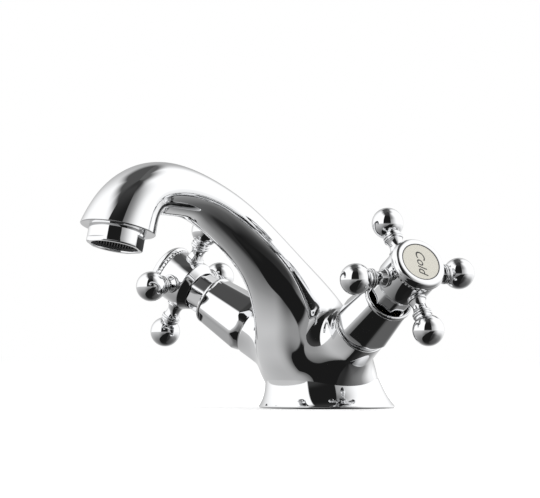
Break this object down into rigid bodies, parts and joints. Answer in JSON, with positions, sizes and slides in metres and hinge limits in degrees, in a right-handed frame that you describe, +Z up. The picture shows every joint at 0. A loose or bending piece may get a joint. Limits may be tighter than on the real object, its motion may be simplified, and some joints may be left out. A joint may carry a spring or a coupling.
{
  "type": "basin mixer tap",
  "caption": "Deck-mounted basin mixer tap with a curved fixed spout, an aerator and two cross handles on quarter-turn ceramic valves.",
  "frame": {"origin": "centre of the round foot, on the flat surface that the tap stands on", "axes": "+Z up; -Y the way the spout points; +X the cold side, -X the hot side"},
  "size_m": [0.1775, 0.1686, 0.1043],
  "materials": {
    "chrome_body": "polished plated brass casting",
    "chrome_trim": "polished plated brass, turned",
    "brass": "machined",
    "steel": "bright spring and screw steel",
    "ceramic": "lapped alumina ceramic",
    "index_face": "glazed cream ceramic",
    "rubber": "moulded nitrile",
    "insert_plastic": "moulded, dark"
  },
  "bodies": {
    "tap_body": {"body_casting": "chrome_body", "base_seal": "rubber", "aerator_sleeve": "chrome_trim", "aerator_insert": "insert_plastic", "aerator_washer": "rubber", "cold_valve_cover": "chrome_trim", "cold_cartridge_body": "brass", "cold_seat_seal": "rubber", "cold_fixed_disc": "ceramic", "hot_valve_cover": "chrome_trim", "hot_cartridge_body": "brass", "hot_seat_seal": "rubber", "hot_fixed_disc": "ceramic"},
    "cold_handle": {"cold_handle_hub": "chrome_trim", "cold_handle_spokes": "chrome_trim", "cold_handle_screw": "steel", "cold_index_ring": "chrome_trim", "cold_index_disc": "index_face", "cold_spindle": "brass", "cold_moving_disc": "ceramic", "cold_stem_rings": "rubber", "cold_retaining_clip": "steel"},
    "hot_handle": {"hot_handle_hub": "chrome_trim", "hot_handle_spokes": "chrome_trim", "hot_handle_screw": "steel", "hot_index_ring": "chrome_trim", "hot_index_disc": "index_face", "hot_spindle": "brass", "hot_moving_disc": "ceramic", "hot_stem_rings": "rubber", "hot_retaining_clip": "steel"}
  },
  "joints": [
    {"name": "cold_turn", "type": "hinge", "parent": "tap_body", "child": "cold_handle", "pos_m": [0.06878, -0.02116, 0.0565], "axis": [0.8388, -0.2154, 0.5], "range_deg": [-90, 0]},
    {"name": "hot_turn", "type": "hinge", "parent": "tap_body", "child": "hot_handle", "pos_m": [-0.06878, -0.02116, 0.0565], "axis": [-0.8388, -0.2154, 0.5], "range_deg": [0, 90]}
  ]
}
